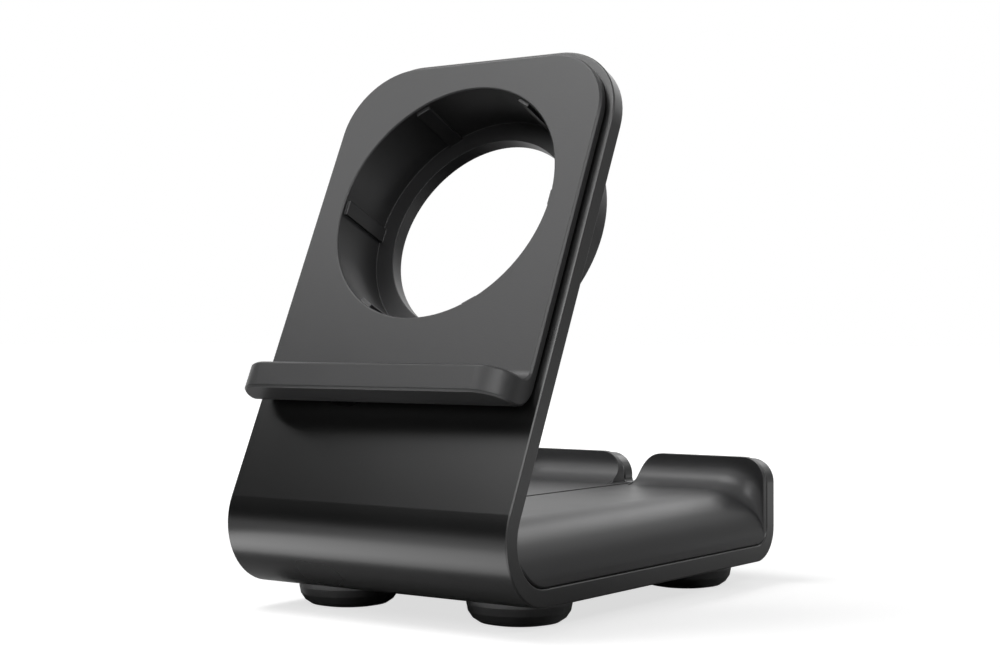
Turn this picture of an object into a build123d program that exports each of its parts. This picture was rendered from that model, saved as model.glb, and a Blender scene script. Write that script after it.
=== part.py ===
from build123d import *
from math import cos, radians, sin, tan
import os

# Smartwatch charging stand: a metal strip bent into an open J carries a soft front pad with a
# charger cup, a soft block on its base, and four rubber feet. Millimetres, +Z up, front towards -Y.
# The origin is on the floor under the middle of the whole object's box.

# Bent plate
plate_width = 60.0
plate_gauge = 3.2
lean_angle = 24.8          # upright's lean back from the vertical
front_bend_inside = 8.0
rear_bend_inside = 3.2
metal_above_cup = 4.8      # left between the cup's hole and the upright's top edge
base_run = 80.2            # from the front bend's centre to the lip's outer face
lip_top = 23.9             # height above the floor
top_corner = 14.7
rear_corner = 4.5          # outer corners and notch shoulders at the rear, on lip and wall alike
notch_width = 5.0
notch_floor_drop = 0.4     # the lip's notch floor under the tray's top
notch_floor_corner = 1.2
edge_break = 0.22          # small chamfer on the strip's whole outline

# Front pad
pad_inset = 1.55           # strip of bare metal left round the pad
pad_thickness = 1.9
ledge_start = 16.9         # along the upright's face, from the bend to the ledge's underside
ledge_height = 4.85
ledge_reach = 9.45         # from the metal to the ledge's front face
ledge_corner = 5.5
ledge_heel = 4.4           # rounding where the ledge's underside turns up to the metal
ledge_hollow = 2.1         # hollow fillet between the ledge and the pad
pad_edge = 0.35            # break of the pad's and ledge's outer edges

# Charger cup
cup_height = 56.25         # along the upright's face, from the bend to the cup's axis
cup_diameter = 45.5
cup_wall = 2.4
cup_length = 12.9          # from the metal's front face to the cup's rear rim
cup_clearance = 0.1        # between the cup's wall and the hole in the plate
cup_rim = 0.2
flange_thickness = 2.65
flange_bore = 38.0
rear_rim = 0.5
rib_count = 6
rib_width = 2.8
rib_height = 0.65
rib_setback = 0.8          # from the pad's face to the ribs' ends

# Base tray
tray_top = 18.1            # height above the floor
tray_shoulder = 9.0
wall_top = 24.35           # height above the floor
wall_thickness = 1.45      # soft wall in front of the lip, at its top
wall_hollow = 5.8          # hollow fillet between the wall and the tray's top
hollow_root = 0.5          # its depth into the tray and the wall, hidden in them
hollow_side_gap = 0.03     # keeps it inside the tray's side, where it narrows
hollow_turns = (0, 14, 24, 32, 39, 46, 53, 61, 70, 80)  # its sections, degrees round a shoulder
bend_relief = 0.2          # the tray's two long edges are this much rounder than the bends
tray_edge = 0.3
slit_width = 1.2
slit_depth = 3.4
channel_diameter = 3.6
channel_depth = 4.6        # channel's axis below the tray's top

# Feet
foot_height = 4.3
foot_diameter = 18.0
foot_round = 3.4
foot_steps = 4             # facets that make up the foot's rounded edge
foot_side_inset = 11.3     # foot's axis from the plate's side
front_foot_setback = 8.6   # foot's axis behind the front bend's centre
rear_foot_inset = 15.8     # foot's axis in front of the lip's outer face

# Lengths that follow
lean = radians(lean_angle)
bend_outside = front_bend_inside + plate_gauge
rear_outside = rear_bend_inside + plate_gauge
bend_z = foot_height + bend_outside
base_top = foot_height + plate_gauge
half_width = plate_width / 2
cup_hole = cup_diameter / 2 + cup_wall + cup_clearance
upright_length = cup_height + cup_hole + metal_above_cup

# Depths: the origin is midway between the foremost point and the lip
ledge_nose = (ledge_start + pad_edge) * sin(lean) - (bend_outside + ledge_reach) * cos(lean)
foremost = min(ledge_nose, -bend_outside)
bend_y = -(foremost + base_run) / 2
lip_y = bend_y + base_run
lip_inside_y = lip_y - plate_gauge
wall_y = lip_inside_y - wall_thickness
face_y = bend_y - bend_outside * cos(lean)
face_z = bend_z + bend_outside * sin(lean)
top_y = face_y + upright_length * sin(lean)
top_z = face_z + upright_length * cos(lean)

# The upright's front face: local x across, local y up the face, local z out of it
face_start = (0, face_y, face_z)
face_plane = Plane(origin=face_start, x_dir=(1, 0, 0), z_dir=(0, -cos(lean), sin(lean)))
out_of_face = Axis(face_start, (0, -cos(lean), sin(lean)))
up_face = Axis(face_start, (0, sin(lean), cos(lean)))


def bend_corner_y(radius):
    """Where the upright's and the base's lines would cross, for a bend of this radius."""
    return bend_y - radius * (1 + sin(lean)) / cos(lean)


def upright_rear_y(height):
    """The upright's rear face at a height above the floor."""
    start_y = bend_y - front_bend_inside * cos(lean)
    start_z = bend_z + front_bend_inside * sin(lean)
    return start_y + (height - start_z) * tan(lean)


def hollow_radius(turn):
    """The wall fillet's radius, this many degrees round a shoulder: it dies out at the wall's side."""
    if turn == 0:
        return wall_hollow
    room = (tray_shoulder - hollow_side_gap) / sin(radians(turn)) - tray_shoulder
    return (wall_hollow ** -3 + room ** -3) ** (-1 / 3)


def hollow_section(height, radius):
    """The wall fillet's section on a face at this height, with a root into the tray and the wall."""
    way = 1 if height > 0 else -1
    foot = (wall_y - radius, height)
    head = (wall_y, height + way * radius)
    root_y = wall_y + hollow_root
    root_z = height - way * hollow_root
    with BuildSketch(mode=Mode.PRIVATE) as section:
        with BuildLine():
            RadiusArc(foot, head, way * radius)
            Polyline(head, (root_y, head[1]), (root_y, root_z), (foot[0], root_z), foot)
        make_face()
    return section.sketch


os.makedirs("parts", exist_ok=True)

# Bent plate: one strip along the J, with rounded corners, a notched lip and the cup's hole
with BuildPart() as bent_plate:
    with BuildSketch(Plane.YZ):
        with BuildLine():
            outer_side = FilletPolyline(
                (top_y, top_z),
                (bend_corner_y(bend_outside), foot_height),
                (lip_y, foot_height),
                (lip_y, lip_top),
                radius=[bend_outside, rear_outside],
            )
            offset(outer_side, amount=plate_gauge, side=Side.RIGHT)
        make_face()
    extrude(amount=half_width, both=True)
    top_corners = bent_plate.edges().filter_by(out_of_face).sort_by(up_face)[-2:]
    fillet(top_corners, top_corner)
    with BuildSketch(Plane.XZ.offset(-lip_y)):
        with Locations((0, tray_top - notch_floor_drop)):
            Rectangle(notch_width, lip_top, align=(Align.CENTER, Align.MIN))
    extrude(amount=plate_gauge, mode=Mode.SUBTRACT)
    lip_edges = bent_plate.edges().filter_by(Axis.Y).group_by(Axis.Z)
    fillet(lip_edges[-1], rear_corner)
    fillet(lip_edges[-2], notch_floor_corner)
    bend_seams = bent_plate.edges().filter_by(Axis.X).sort_by(SortBy.LENGTH)[-8:]
    across_gauge = bent_plate.edges().filter_by(lambda edge: abs(edge.length - plate_gauge) < 0.001)
    chamfer(bent_plate.edges() - bend_seams - across_gauge, edge_break)
    with BuildSketch(face_plane):
        with Locations((0, cup_height)):
            Circle(cup_hole)
    extrude(amount=-plate_gauge, mode=Mode.SUBTRACT)
bent_plate.part.label = "bent_plate"
export_step(bent_plate.part, "parts/bent_plate.step")

# Front pad: thin pad, thick ledge and charger cup in one moulding
with BuildPart() as front_pad:
    pad_half = half_width - pad_inset
    pad_end = upright_length - pad_inset
    with BuildSketch(face_plane):
        with Locations((0, ledge_start)):
            Rectangle(2 * pad_half, pad_end - ledge_start, align=(Align.CENTER, Align.MIN))
    extrude(amount=pad_thickness)
    fillet(front_pad.edges().filter_by(out_of_face).sort_by(up_face)[-2:], top_corner - pad_inset)
    with BuildSketch(face_plane):
        with Locations((0, ledge_start)):
            Rectangle(2 * pad_half, ledge_height, align=(Align.CENTER, Align.MIN))
    extrude(amount=ledge_reach)
    lines_across = front_pad.edges().filter_by(Axis.X).group_by(out_of_face)
    fillet(lines_across[0].sort_by(up_face)[0], ledge_heel)
    lines_across = front_pad.edges().filter_by(Axis.X).group_by(out_of_face)
    fillet(lines_across[1].sort_by(up_face)[0], ledge_hollow)
    fillet(front_pad.edges().filter_by(up_face).group_by(out_of_face)[-1], ledge_corner)
    chamfer(front_pad.edges().filter_by(Axis.X).group_by(out_of_face)[-1], pad_edge)
    with BuildSketch(face_plane.offset(pad_thickness)):
        with Locations((0, cup_height)):
            Circle(cup_diameter / 2 + cup_wall)
    extrude(amount=-pad_thickness - cup_length)
    chamfer(front_pad.edges().filter_by(GeomType.CIRCLE).sort_by(out_of_face)[0], rear_rim)
    with Locations(face_plane.offset(pad_thickness)):
        with Locations((0, cup_height)):
            CounterBoreHole(
                radius=flange_bore / 2,
                counter_bore_radius=cup_diameter / 2,
                counter_bore_depth=pad_thickness + cup_length - flange_thickness,
            )
    full_circles = front_pad.edges().filter_by(GeomType.CIRCLE).filter_by(lambda edge: edge.is_closed)
    chamfer(full_circles.sort_by(out_of_face)[-1], cup_rim)
    with BuildSketch(face_plane.offset(pad_thickness - rib_setback)):
        with Locations((0, cup_height)):
            with PolarLocations(cup_diameter / 2 - rib_height, rib_count):
                Rectangle(rib_height + cup_wall / 2, rib_width, align=(Align.MIN, Align.CENTER))
    extrude(amount=flange_thickness - pad_thickness - cup_length + rib_setback)
front_pad.part.label = "front_pad"
export_step(front_pad.part, "parts/front_pad.step")

# Base tray: a block in the J, rounded over its shoulders, with the rear wall on a hollow fillet
with BuildPart() as base_tray:
    with BuildSketch(Plane.YZ):
        with BuildLine():
            FilletPolyline(
                (upright_rear_y(wall_top), wall_top),
                (bend_corner_y(front_bend_inside), base_top),
                (lip_inside_y, base_top),
                (lip_inside_y, wall_top),
                radius=[front_bend_inside + bend_relief, rear_bend_inside + bend_relief],
            )
            Line((lip_inside_y, wall_top), (upright_rear_y(wall_top), wall_top))
        make_face()
    extrude(amount=half_width, both=True)
    with BuildSketch(Plane.YZ) as over_tray:
        with Locations((wall_y, tray_top)):
            Rectangle(base_run + bend_outside, wall_top, align=(Align.MAX, Align.MIN))
    extrude(amount=half_width - tray_shoulder, both=True, mode=Mode.SUBTRACT)
    for side in (1, -1):
        shoulder_x = side * (half_width - tray_shoulder)
        shoulder_axis = Axis((shoulder_x, 0, tray_top - tray_shoulder), (0, side, 0))
        with BuildSketch(Plane.YZ.offset(shoulder_x)):
            add(over_tray.sketch_local)
        revolve(axis=shoulder_axis, revolution_arc=90, mode=Mode.SUBTRACT)
    with BuildSketch(Plane.YZ):
        add(hollow_section(tray_top, wall_hollow))
    extrude(amount=half_width - tray_shoulder, both=True)
    with BuildSketch(Plane.XZ.offset(-lip_inside_y)) as rear_outline:
        with Locations((0, wall_top)):
            Rectangle(plate_width, wall_top, align=(Align.CENTER, Align.MAX))
            Rectangle(notch_width, 2 * (wall_top - tray_top), mode=Mode.SUBTRACT)
        outline_levels = rear_outline.vertices().group_by(Axis.Y)
        fillet(outline_levels[-1], rear_corner)
        fillet(outline_levels[-2], notch_floor_corner)
    extrude(amount=base_run + bend_outside, mode=Mode.INTERSECT)
    for side in (1, -1):
        shoulder_x = side * (half_width - tray_shoulder)
        shoulder_centre = (shoulder_x, 0, tray_top - tray_shoulder)
        for turn in hollow_turns:
            round_shoulder = (side * cos(radians(turn)), 0, -sin(radians(turn)))
            with BuildSketch(Plane(shoulder_centre, x_dir=(0, 1, 0), z_dir=round_shoulder)):
                add(hollow_section(side * tray_shoulder, hollow_radius(turn)))
        loft()
    side_edges = base_tray.edges().filter_by(Axis.Y).group_by(Axis.Z)[0]
    chamfer(side_edges, tray_edge)
    with BuildSketch(Plane.XZ.offset(-lip_y)):
        with Locations((0, tray_top)):
            Rectangle(slit_width, 2 * slit_depth)
        with Locations((0, tray_top - channel_depth)):
            Circle(channel_diameter / 2)
    extrude(amount=base_run + bend_outside, mode=Mode.SUBTRACT)
base_tray.part.label = "base_tray"
export_step(base_tray.part, "parts/base_tray.step")

# Feet: four round pads with well-rounded lower edges
foot_x = half_width - foot_side_inset
front_foot_y = bend_y + front_foot_setback
rear_foot_y = lip_y - rear_foot_inset
foot_places = {
    "foot_front_left": (-foot_x, front_foot_y),
    "foot_front_right": (foot_x, front_foot_y),
    "foot_rear_left": (-foot_x, rear_foot_y),
    "foot_rear_right": (foot_x, rear_foot_y),
}
round_points = []
for step in range(foot_steps + 1):
    turn = radians(90 * step / foot_steps)
    point_x = foot_diameter / 2 - foot_round * (1 - cos(turn))
    round_points.append((point_x, foot_round * (1 - sin(turn))))
for name, place in foot_places.items():
    with BuildPart() as foot:
        with BuildSketch(Plane.XZ):
            with BuildLine():
                Polyline((0, foot_height), (foot_diameter / 2, foot_height), *round_points)
                Polyline(round_points[-1], (0, 0), (0, foot_height))
            make_face()
        revolve(axis=Axis.Z)
    placed_foot = foot.part.translate((*place, 0))
    placed_foot.label = name
    export_step(placed_foot, f"parts/{name}.step")
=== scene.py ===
import math

import bpy
import mathutils
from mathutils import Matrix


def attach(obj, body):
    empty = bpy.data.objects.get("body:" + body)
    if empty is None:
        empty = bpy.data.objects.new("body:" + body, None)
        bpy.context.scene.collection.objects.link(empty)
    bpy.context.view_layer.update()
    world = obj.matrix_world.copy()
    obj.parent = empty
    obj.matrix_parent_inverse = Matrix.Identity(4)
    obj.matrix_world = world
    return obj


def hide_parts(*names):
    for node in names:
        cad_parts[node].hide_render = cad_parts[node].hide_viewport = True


# Looks, light and camera for the smartwatch charging stand. Lengths are metres in the row frame:
# +Z up, front towards -Y, floor at Z = 0.
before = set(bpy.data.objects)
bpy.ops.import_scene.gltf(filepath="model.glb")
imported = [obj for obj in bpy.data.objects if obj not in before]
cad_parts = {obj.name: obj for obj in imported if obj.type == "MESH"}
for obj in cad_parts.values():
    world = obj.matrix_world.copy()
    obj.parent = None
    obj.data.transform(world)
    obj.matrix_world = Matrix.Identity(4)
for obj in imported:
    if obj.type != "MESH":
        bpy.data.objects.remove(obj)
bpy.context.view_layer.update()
scene = bpy.context.scene

noise_roughness = 0.55     # how strong the finer octaves of every noise are
noise_range = (0.3, 0.7)   # the part of a noise that is spread over a range
tint_range = (0.35, 0.65)  # the part of a noise that blends two colours
edge_samples = 8           # samples for the rounding of edges


def new_material(name):
    """An empty node material, its tree and its surface output."""
    material = bpy.data.materials.new(name)
    material.use_nodes = True
    tree = material.node_tree
    tree.nodes.clear()
    return material, tree, tree.nodes.new("ShaderNodeOutputMaterial")


def remap(tree, value, start, end, low, high, smooth=False):
    """Maps the range from start to end to the range from low to high."""
    node = tree.nodes.new("ShaderNodeMapRange")
    if smooth:
        node.interpolation_type = "SMOOTHSTEP"
    numbers = {"From Min": start, "From Max": end, "To Min": low, "To Max": high}
    for socket, number in numbers.items():
        node.inputs[socket].default_value = number
    tree.links.new(value, node.inputs["Value"])
    return node.outputs["Result"]


def arithmetic(tree, operation, first, second, clamp=False):
    """Adds or multiplies two values."""
    node = tree.nodes.new("ShaderNodeMath")
    node.operation = operation
    node.use_clamp = clamp
    tree.links.new(first, node.inputs[0])
    tree.links.new(second, node.inputs[1])
    return node.outputs[0]


def noise(tree, coordinates, scale, detail):
    """A noise over the piece's own coordinates, with its scale in features per metre."""
    node = tree.nodes.new("ShaderNodeTexNoise")
    node.inputs["Scale"].default_value = scale
    node.inputs["Detail"].default_value = detail
    node.inputs["Roughness"].default_value = noise_roughness
    tree.links.new(coordinates, node.inputs["Vector"])
    return node.outputs["Fac"]


def tint(tree, value, dark, light):
    """Blends two greys by a noise."""
    ramp = tree.nodes.new("ShaderNodeValToRGB")
    for element, position, colour in zip(ramp.color_ramp.elements, tint_range, (dark, light)):
        element.position = position
        element.color = (*colour, 1)
    tree.links.new(value, ramp.inputs["Fac"])
    return ramp.outputs["Color"]


def soft_edges(tree, radius):
    """A normal that rolls over sharp edges, so that they catch a thin line of light."""
    node = tree.nodes.new("ShaderNodeBevel")
    node.samples = edge_samples
    node.inputs["Radius"].default_value = radius
    return node.outputs["Normal"]


def bump(tree, value, distance, strength, normal=None):
    """A bump of a real height, over a given normal or the surface's own."""
    node = tree.nodes.new("ShaderNodeBump")
    node.inputs["Distance"].default_value = distance
    node.inputs["Strength"].default_value = strength
    tree.links.new(value, node.inputs["Height"])
    if normal is not None:
        tree.links.new(normal, node.inputs["Normal"])
    return node.outputs["Normal"]


def new_surface(name, specular):
    """A material with one Principled shader, and the coordinates for its textures."""
    material, tree, output = new_material(name)
    shader = tree.nodes.new("ShaderNodeBsdfPrincipled")
    shader.inputs["Specular IOR Level"].default_value = specular
    tree.links.new(shader.outputs["BSDF"], output.inputs["Surface"])
    coordinates = tree.nodes.new("ShaderNodeTexCoord").outputs["Object"]
    return material, tree, shader, coordinates


def finish_surface(tree, shader, colour, roughness_by, roughness, normal):
    """Links a colour, a roughness that a noise spreads over a range, and a normal."""
    tree.links.new(colour, shader.inputs["Base Color"])
    tree.links.new(remap(tree, roughness_by, *noise_range, *roughness), shader.inputs["Roughness"])
    tree.links.new(normal, shader.inputs["Normal"])


def black_coat():
    """Satin black coating on the bent strip: fine orange peel, faint handling marks."""
    material, tree, shader, coordinates = new_surface("black_metal", specular=0.5)
    marks = noise(tree, coordinates, scale=28, detail=3)
    grain = noise(tree, coordinates, scale=2600, detail=2)
    peel = noise(tree, coordinates, scale=420, detail=2)
    colour = tint(tree, marks, dark=(0.0030, 0.0030, 0.0031), light=(0.0042, 0.0042, 0.0043))
    normal = soft_edges(tree, radius=0.0002)
    normal = bump(tree, peel, distance=0.000005, strength=0.5, normal=normal)
    normal = bump(tree, grain, distance=0.00001, strength=0.55, normal=normal)
    finish_surface(tree, shader, colour, marks, roughness=(0.27, 0.29), normal=normal)
    return material


def soft_moulding():
    """Matt black soft moulding: fine moulded grain, slightly polished in patches."""
    material, tree, shader, coordinates = new_surface("soft_black", specular=0.33)
    patches = noise(tree, coordinates, scale=45, detail=4)
    grain = noise(tree, coordinates, scale=3200, detail=3)
    colour = tint(tree, patches, dark=(0.033, 0.033, 0.034), light=(0.038, 0.038, 0.039))
    normal = soft_edges(tree, radius=0.00025)
    normal = bump(tree, grain, distance=0.00002, strength=0.6, normal=normal)
    finish_surface(tree, shader, colour, patches, roughness=(0.35, 0.40), normal=normal)
    return material


def foot_rubber():
    """Smooth black rubber of the feet, with a little dust on it."""
    material, tree, shader, coordinates = new_surface("foot_rubber", specular=0.6)
    dust = noise(tree, coordinates, scale=260, detail=5)
    grain = noise(tree, coordinates, scale=2400, detail=3)
    colour = tint(tree, dust, dark=(0.105, 0.105, 0.107), light=(0.125, 0.125, 0.127))
    normal = bump(tree, grain, distance=0.00002, strength=0.5)
    finish_surface(tree, shader, colour, dust, roughness=(0.34, 0.44), normal=normal)
    return material


metal = black_coat()
moulding = soft_moulding()
rubber = foot_rubber()
looks = {"bent_plate": metal, "front_pad": moulding, "base_tray": moulding}
for name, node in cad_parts.items():
    node.data.materials.clear()
    node.data.materials.append(looks.get(name, rubber))


# The tray's rear wall. The solid's fillet at its foot bulges where the photograph's is hollow, so
# the scene's own tray stands for it, with the solid's own faces everywhere else.
tray_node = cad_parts["base_tray"]
tray_top = 0.0181            # height of the tray's flat top
tray_half = 0.030            # half the tray's width
tray_shoulder = 0.009        # radius of its rounded shoulders
side_x = tray_half - tray_shoulder     # where a shoulder starts
centre_z = tray_top - tray_shoulder    # height of the shoulders' centre line
wall_thickness = 0.00145
wall_front = max(vertex.co.y for vertex in tray_node.data.vertices) - wall_thickness
wall_top = 0.02435           # height of the wall's top edge
wall_corner = 0.0045         # radius of the notch's upper corners
notch_half = 0.0025          # half the notch's width
notch_floor_corner = 0.0012  # radius of the corners at the notch's floor
hollow = 0.0058              # radius of the fillet
hollow_side_gap = 0.00003    # keeps it inside the tray's side, where it narrows
last_turn = math.radians(83)           # where it ends round a shoulder
hollow_steps, hollow_turns = 28, 56    # its faces from foot to head, and round a shoulder

# Limits for finding the solid's bulging faces and the notch's faces beside them
bulge_end = math.radians(84)           # nothing of the bulge lies further round a shoulder
touching = 0.00002           # on the wall or on the top, within this distance
flat_miss = 0.00004          # off the bulge's true form, before the shoulders
shoulder_miss = 0.0008       # and round them, where the solid's form is lofted
shoulder_reach = side_x - 0.0001       # distance from the middle at which the second one starts
notch_reach = notch_half + wall_corner + 0.0001
notch_slope = 0.02           # most that a notch face's normal leans to front or back
hairline = 0.000001          # points this near the fillet's foot or head stay

# Skirts under the edges of the new fillet, which close the seams to the solid's own faces
skirt_sink = 0.000004        # depth under the solid's faces
skirt_width = 0.0003
skirt_side_gap = 0.00005     # keeps a skirt inside the tray's side
nudge = 0.002                # step in radians over which a normal is worked out


def hollow_radius(turn):
    """The fillet's radius at an angle round the shoulder: it dies out at the wall's side."""
    if turn <= 0:
        return hollow
    room = (tray_shoulder - hollow_side_gap) / math.sin(turn) - tray_shoulder
    return (hollow ** -3 + room ** -3) ** (-1 / 3)


def over_shoulder(x, z):
    """A point's height off the tray's rounded top, and its angle round the shoulder."""
    across = abs(x) - side_x
    rise = z - centre_z
    if across <= 0:
        return rise - tray_shoulder, 0.0
    return math.hypot(across, rise) - tray_shoulder, math.atan2(across, rise)


def bulge_at(point):
    """Depth before the wall, height and radius of a point on the solid's fillet, or None."""
    height, turn = over_shoulder(point[0], point[2])
    depth = wall_front - point[1]
    if turn > bulge_end or height < -touching or depth < -touching:
        return None
    radius = hollow_radius(turn)
    allowed = flat_miss if abs(point[0]) < shoulder_reach else shoulder_miss
    if abs(math.hypot(depth, height) - radius) > allowed:
        return None
    return depth, height, radius


def notch_side(z):
    """Half the notch's width at a height, with its rounded corners."""
    if z > wall_top - wall_corner:
        rise = min(z - (wall_top - wall_corner), wall_corner)
        return notch_half + wall_corner - math.sqrt(wall_corner ** 2 - rise ** 2)
    drop = max(0.0, tray_top + notch_floor_corner - z)
    drop = min(drop, notch_floor_corner)
    return notch_half - notch_floor_corner + math.sqrt(notch_floor_corner ** 2 - drop ** 2)


def is_bulging(polygon, points):
    """Whether a face of the solid belongs to the bulge, and not to the wall, top or notch."""
    hits = [bulge_at(points[index]) for index in polygon.vertices]
    if not all(hits):
        return False
    in_wall = all(abs(depth) < touching for depth, height, radius in hits)
    on_top = all(abs(height) < touching for depth, height, radius in hits)
    first_x = points[polygon.vertices[0]][0]
    beside_notch = abs(polygon.normal.y) < notch_slope and abs(first_x) < notch_reach
    return not (in_wall or on_top or beside_notch)


def solid_without_bulge(source):
    """The solid's points, and the faces and corner normals that stay."""
    points = [list(vertex.co) for vertex in source.vertices]
    corners = [tuple(corner.vector) for corner in source.corner_normals]
    faces, normals = [], []
    for polygon in source.polygons:
        if is_bulging(polygon, points):
            continue
        faces.append(list(polygon.vertices))
        normals.extend(corners[loop] for loop in polygon.loop_indices)
    for point in points:
        hit = bulge_at(point)
        if hit is None or abs(point[0]) >= notch_reach:
            continue
        height, radius = hit[1:]
        if hairline < height < radius - hairline:
            point[1] = wall_front - radius + math.sqrt(radius ** 2 - (radius - height) ** 2)
    return points, faces, normals


def flat_rows(side, angles):
    """The fillet between the notch and a shoulder, as rows of points with their normals."""
    rows = []
    for angle in angles:
        z = tray_top + hollow * (1 - math.cos(angle))
        y = wall_front - hollow * (1 - math.sin(angle))
        normal = (0, -math.sin(angle), math.cos(angle))
        rows.append([((side * notch_side(z), y, z), normal), ((side * side_x, y, z), normal)])
    return rows


def on_hollow(turn, angle):
    """A point on the fillet, this far round the right shoulder and up from its foot."""
    radius = hollow_radius(turn)
    reach = tray_shoulder + radius * (1 - math.cos(angle))
    return mathutils.Vector((
        side_x + reach * math.sin(turn),
        wall_front - radius * (1 - math.sin(angle)),
        centre_z + reach * math.cos(turn),
    ))


def hollow_normal(turn, angle):
    """The fillet's normal there, from points near it along both of its directions."""
    along = on_hollow(turn + nudge, angle) - on_hollow(max(turn - nudge, 0), angle)
    upper = on_hollow(turn, min(angle + nudge, math.pi / 2))
    lower = on_hollow(turn, max(angle - nudge, 0))
    normal = along.cross(upper - lower).normalized()
    if normal.y > 0:
        normal.negate()
    return normal


def shoulder_rows(side, angles):
    """The fillet round a shoulder, and the skirts at its head and foot, as rows of points."""
    rows, heads, feet = [], [], []
    for i in range(hollow_turns + 1):
        turn = last_turn * i / hollow_turns
        row = []
        for angle in angles:
            normal = hollow_normal(turn, angle)
            at = on_hollow(turn, angle)
            row.append(((side * at.x, at.y, at.z), (side * normal.x, normal.y, normal.z)))
        rows.append(row)
        out = mathutils.Vector((math.sin(turn), 0, math.cos(turn)))
        out_normal = (side * out.x, 0, out.z)
        foot = on_hollow(turn, 0) - out * skirt_sink
        feet.append([
            ((side * foot.x, foot.y, foot.z), out_normal),
            ((side * foot.x, foot.y - skirt_width, foot.z), out_normal),
        ])
        head = on_hollow(turn, math.pi / 2)
        upper = head + out * skirt_width
        upper_x = min(upper.x, tray_half - skirt_side_gap)
        heads.append([
            ((side * head.x, head.y + skirt_sink, head.z), (0, -1, 0)),
            ((side * upper_x, upper.y + skirt_sink, upper.z), (0, -1, 0)),
        ])
    return rows, heads, feet


def add_grid(points, faces, normals, rows, flip):
    """Joins rows of points with their normals into four-cornered faces."""
    first = len(points)
    width = len(rows[0])
    flat = [item for row in rows for item in row]
    points.extend(list(item[0]) for item in flat)
    for i in range(len(rows) - 1):
        for j in range(width - 1):
            near, far = i * width + j, (i + 1) * width + j
            face = [near, near + 1, far + 1, far]
            if flip:
                face.reverse()
            faces.append([first + index for index in face])
            normals.extend(flat[index][1] for index in face)


def hollow_tray(node):
    """The tray with a hollow fillet: the solid's other faces, and new faces for the fillet."""
    points, faces, normals = solid_without_bulge(node.data)
    angles = [math.pi / 2 * step / hollow_steps for step in range(hollow_steps + 1)]
    for side in (1, -1):
        rows, heads, feet = shoulder_rows(side, angles)
        add_grid(points, faces, normals, flat_rows(side, angles), flip=side < 0)
        add_grid(points, faces, normals, rows, flip=side > 0)
        add_grid(points, faces, normals, heads, flip=side > 0)
        add_grid(points, faces, normals, feet, flip=side < 0)
    mesh = bpy.data.meshes.new("base_tray_hollow")
    mesh.from_pydata(points, [], faces)
    for polygon in mesh.polygons:
        polygon.use_smooth = True
    mesh.normals_split_custom_set(normals)
    mesh.materials.append(moulding)
    tray = bpy.data.objects.new("base_tray_hollow", mesh)
    scene.collection.objects.link(tray)
    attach(tray, "root")
    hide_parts("base_tray")


hollow_tray(tray_node)


def studio_world(dim_strength, white_strength):
    """White where the camera, a reflection or a see-through ray meets it, and dim as a light."""
    world = bpy.data.worlds.new("studio")
    scene.world = world
    world.use_nodes = True
    tree = world.node_tree
    tree.nodes.clear()
    path = tree.nodes.new("ShaderNodeLightPath").outputs
    seen = arithmetic(tree, "ADD", path["Is Camera Ray"], path["Is Glossy Ray"])
    seen = arithmetic(tree, "ADD", seen, path["Is Transmission Ray"], clamp=True)
    mix = tree.nodes.new("ShaderNodeMixShader")
    tree.links.new(seen, mix.inputs["Fac"])
    for socket, strength in zip(mix.inputs[1:], (dim_strength, white_strength)):
        background = tree.nodes.new("ShaderNodeBackground")
        background.inputs["Color"].default_value = (1, 1, 1, 1)
        background.inputs["Strength"].default_value = strength
        tree.links.new(background.outputs[0], socket)
    output = tree.nodes.new("ShaderNodeOutputWorld")
    tree.links.new(mix.outputs[0], output.inputs["Surface"])


studio_world(dim_strength=0.03, white_strength=1.0)


def quad(name, corners, material):
    """A four-cornered sheet that isn't part of the object."""
    mesh = bpy.data.meshes.new(name)
    mesh.from_pydata(corners, [], [(0, 1, 2, 3)])
    mesh.materials.append(material)
    sheet = bpy.data.objects.new(name, mesh)
    scene.collection.objects.link(sheet)
    return sheet


# The floor, with the distances from the object over which its glow rises, and the glow's levels: the
# weaker glow near the object is a painted shadow, seen straight on and in reflections
floor_half = 6
camera_shadow_span, camera_glow = (0.05, 0.5), (0.7, 1.0)
bent_shadow_span, bent_glow = (0.08, 0.22), (0.0, 0.7)
floor_grey, floor_bounce = (0.5, 0.5, 0.5, 1), (0.05, 0.05, 0.05, 1)
colour_a, colour_b, colour_out = 6, 7, 2    # the Mix node's colour sockets


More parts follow.
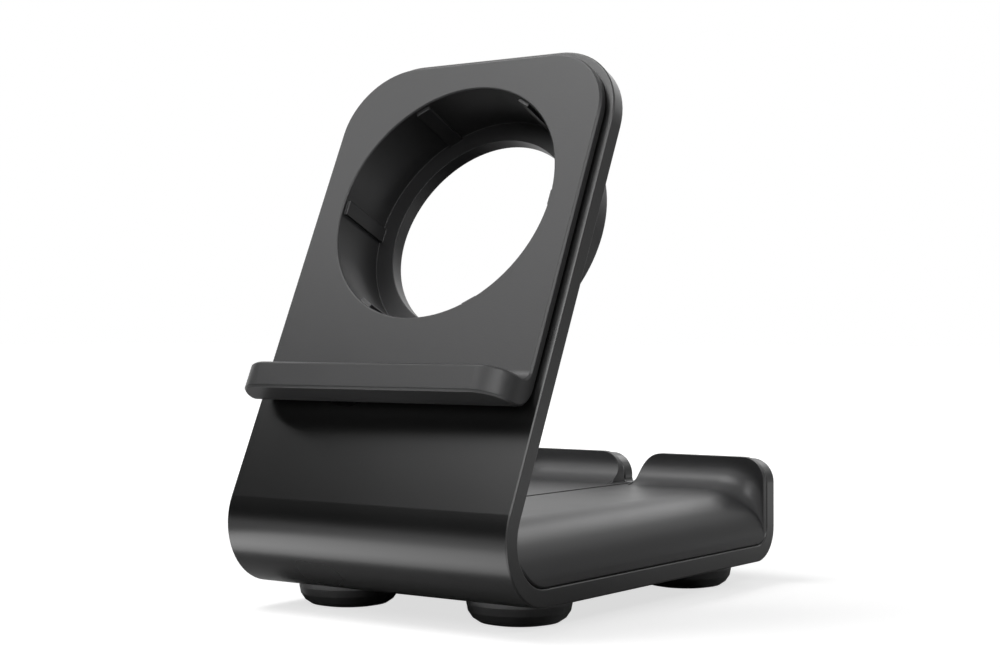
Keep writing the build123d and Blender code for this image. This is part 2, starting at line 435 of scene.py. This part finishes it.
def floor_look():
    """Pale floor that keeps the object's shadow, with a painted shadow in its glow near the object,
    and lifts to white away from it.
    """
    material, tree, output = new_material("pale_floor")
    path = tree.nodes.new("ShaderNodeLightPath").outputs
    length = tree.nodes.new("ShaderNodeVectorMath")
    length.operation = "LENGTH"
    tree.links.new(tree.nodes.new("ShaderNodeTexCoord").outputs["Object"], length.inputs[0])
    distance = length.outputs["Value"]
    # The glow is weaker near the object: a painted shadow on the floor as the camera sees it
    for_camera = remap(tree, distance, *camera_shadow_span, *camera_glow, smooth=True)
    for_camera = arithmetic(tree, "MULTIPLY", path["Is Camera Ray"], for_camera)
    bent_rays = arithmetic(tree, "ADD", path["Is Glossy Ray"], path["Is Transmission Ray"], clamp=True)
    # For reflections the floor near the object is painted dark, as its shadow
    for_bent = remap(tree, distance, *bent_shadow_span, *bent_glow, smooth=True)
    for_bent = arithmetic(tree, "MULTIPLY", bent_rays, for_bent)
    glow = tree.nodes.new("ShaderNodeEmission")
    glow.inputs["Color"].default_value = (1, 1, 1, 1)
    tree.links.new(arithmetic(tree, "ADD", for_camera, for_bent), glow.inputs["Strength"])
    shade = tree.nodes.new("ShaderNodeMix")
    shade.data_type = "RGBA"
    # Diffuse rays see the floor darker, so that it throws less bounce light on the object
    tree.links.new(path["Is Diffuse Ray"], shade.inputs["Factor"])
    shade.inputs[colour_a].default_value = floor_grey
    shade.inputs[colour_b].default_value = floor_bounce
    diffuse = tree.nodes.new("ShaderNodeBsdfDiffuse")
    tree.links.new(shade.outputs[colour_out], diffuse.inputs["Color"])
    both = tree.nodes.new("ShaderNodeAddShader")
    tree.links.new(diffuse.outputs[0], both.inputs[0])
    tree.links.new(glow.outputs[0], both.inputs[1])
    tree.links.new(both.outputs[0], output.inputs["Surface"])
    return material


signs = ((-1, -1), (1, -1), (1, 1), (-1, 1))
quad("floor", [(floor_half * x, floor_half * y, 0) for x, y in signs], floor_look())

light_target = (0, 0, 0.04)
light_distance = 1.0


def area_light(name, azimuth, elevation, size, power):
    """A soft box that faces the target. Azimuth 0 is in front of the object and 90 on its right."""
    a, e = math.radians(azimuth), math.radians(elevation)
    lamp = bpy.data.lights.new(name, "AREA")
    lamp.shape = "SQUARE"
    lamp.size = size
    lamp.energy = power
    box = bpy.data.objects.new(name, lamp)
    scene.collection.objects.link(box)
    out = (math.sin(a) * math.cos(e), -math.cos(a) * math.cos(e), math.sin(e))
    box.location = [t + light_distance * o for t, o in zip(light_target, out)]
    box.rotation_euler = (math.radians(90 - elevation), 0, a)
    box.visible_camera = False


# Soft boxes, by azimuth and elevation in degrees, size in metres and power in watts: two strong
# ones high at the front left, weak fills lower down on the left, right and front, and one behind
for name, azimuth, elevation, size, power in (
    ("key", -60, 64, 0.4, 3.4),
    ("key_front", -30, 64, 0.4, 2.2),
    ("left_fill", -42, 38, 0.4, 1.2),
    ("right_fill", 60, 37, 0.2, 1.2),
    ("front_fill", 22, 30, 0.35, 1.2),
    ("back", 180, 38, 0.4, 1.2),
):
    area_light(name, azimuth, elevation, size, power)


def levels_look(name, levels, axis, across=None):
    """An emitter with levels along one of its own axes, times a ramp along another if given."""
    material, tree, output = new_material(name)
    glow = tree.nodes.new("ShaderNodeEmission")
    parts = tree.nodes.new("ShaderNodeSeparateXYZ")
    tree.links.new(tree.nodes.new("ShaderNodeTexCoord").outputs["Object"], parts.inputs[0])
    start, end = levels[0][0], levels[-1][0]
    ramp = tree.nodes.new("ShaderNodeValToRGB")
    elements = ramp.color_ramp.elements
    middle = 0.5
    while len(elements) < len(levels):
        elements.new(middle)
    for element, (place, level) in zip(elements, levels):
        element.position = (place - start) / (end - start)
        element.color = (level, level, level, 1)
    tree.links.new(remap(tree, parts.outputs[axis], start, end, 0, 1), ramp.inputs["Fac"])
    strength = ramp.outputs["Color"]
    if across is not None:
        other_axis, start, end, low, high = across
        factor = remap(tree, parts.outputs[other_axis], start, end, low, high)
        strength = arithmetic(tree, "MULTIPLY", strength, factor)
    tree.links.new(strength, glow.inputs["Strength"])
    tree.links.new(glow.outputs[0], output.inputs["Surface"])
    return material


def reflected_card(name, corners, levels, axis, across=None):
    """A glowing card that shows in reflections alone."""
    card = quad(name, corners, levels_look(name, levels, axis, across))
    card.visible_camera = False
    card.visible_diffuse = False
    card.visible_shadow = False
    card.visible_transmission = False


def even(low, high, level):
    """One level over the whole of a card, from its low end to its high end."""
    return [(low, level), (high, level)]


# A glowing strip that lies low in front, seen only in reflections: it paints the long highlight on the
# front bend
reflected_card(
    "front_strip",
    [(-0.06, -0.145, 0.0005), (0.10, -0.145, 0.0005), (0.10, -0.050, 0.0005), (-0.06, -0.050, 0.0005)],
    [
        (-0.145, 1.5), (-0.100, 1.5), (-0.086, 1.6), (-0.076, 4.2),
        (-0.060, 4.3), (-0.056, 4.9), (-0.054, 3.6), (-0.050, 3.4),
    ],
    "Y",
    across=("X", -0.045, 0.03, 1.0, 0.68),
)

# A dark card beyond it, glowing along its foot and its top and seen only in reflections, paints the
# dark and light reflections on the upright's metal over the bend
reflected_card(
    "dark_card",
    [(-0.62, -0.02, 0.0), (0.02, -0.55, 0.0), (0.02, -0.55, 0.42), (-0.62, -0.02, 0.42)],
    [(0.0, 1.1), (0.014, 1.0), (0.026, 0.04), (0.046, 0.0), (0.31, 0.0), (0.33, 4.1), (0.42, 4.1)],
    "Z",
)

# A dimly glowing grey card behind on the right, seen only in reflections: a painted darker reflection
# that keeps the tray's flank darker than its shoulder
reflected_card(
    "flank_card",
    [(0.15, 0.75, -0.05), (0.75, 0.15, -0.05), (0.75, 0.15, 0.24), (0.15, 0.75, 0.24)],
    even(-0.05, 0.24, level=0.45),
    "Z",
)

# A bright glowing card high at the front right, seen only in reflections: it paints the highlights on
# the ledge's corner and the edges on the right
reflected_card(
    "corner_card",
    [(0.31, -0.45, 0.37), (0.60, -0.15, 0.24), (0.60, -0.15, 0.49), (0.31, -0.45, 0.62)],
    even(0.24, 0.62, level=6.5),
    "Z",
)

# Camera: the photo's own place and lens, solved from its straight edges and circles
lens = bpy.data.cameras.new("photo_camera")
lens.lens = 65.26
lens.sensor_width = 36.0
lens.clip_start = 0.01
lens.clip_end = 50
camera = bpy.data.objects.new("photo_camera", lens)
scene.collection.objects.link(camera)
camera.location = (0.193382, -0.276474, 0.048607)
camera.rotation_euler = (math.radians(90), 0, math.radians(35.481))
scene.camera = camera

scene.view_settings.view_transform = "Standard"
